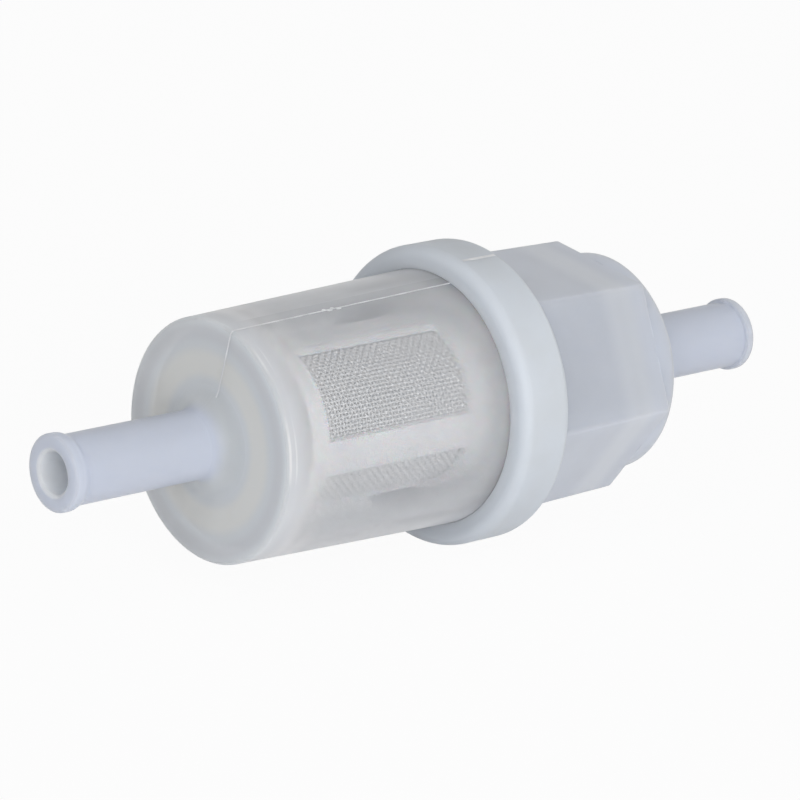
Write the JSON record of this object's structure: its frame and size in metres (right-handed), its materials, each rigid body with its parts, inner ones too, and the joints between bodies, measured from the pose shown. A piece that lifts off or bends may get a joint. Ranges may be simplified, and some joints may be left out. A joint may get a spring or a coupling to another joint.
{
  "type": "in-line fuel filter",
  "caption": "Translucent in-line fuel filter: tapered round inlet bowl, joint collar, hexagonal outlet cap, beaded hose nipple at each end and a woven screen in a cage inside.",
  "frame": {"origin": "on the filter's axis, half way between its two nipple tips", "axes": "+X along the flow from inlet to outlet, +Z out through a flat of the six-sided outlet housing"},
  "size_m": [0.1042, 0.0354, 0.0354],
  "materials": {
    "housing_plastic": "milky translucent moulding",
    "collar_plastic": "nearly opaque milky moulding",
    "cage_plastic": "natural white moulding",
    "woven_mesh": "plain woven plastic thread"
  },
  "bodies": {
    "root": {"inlet_housing": "housing_plastic", "outlet_housing": "housing_plastic", "joint_collar": "collar_plastic", "screen_cage": "cage_plastic", "screen_mesh": "woven_mesh"}
  },
  "joints": []
}
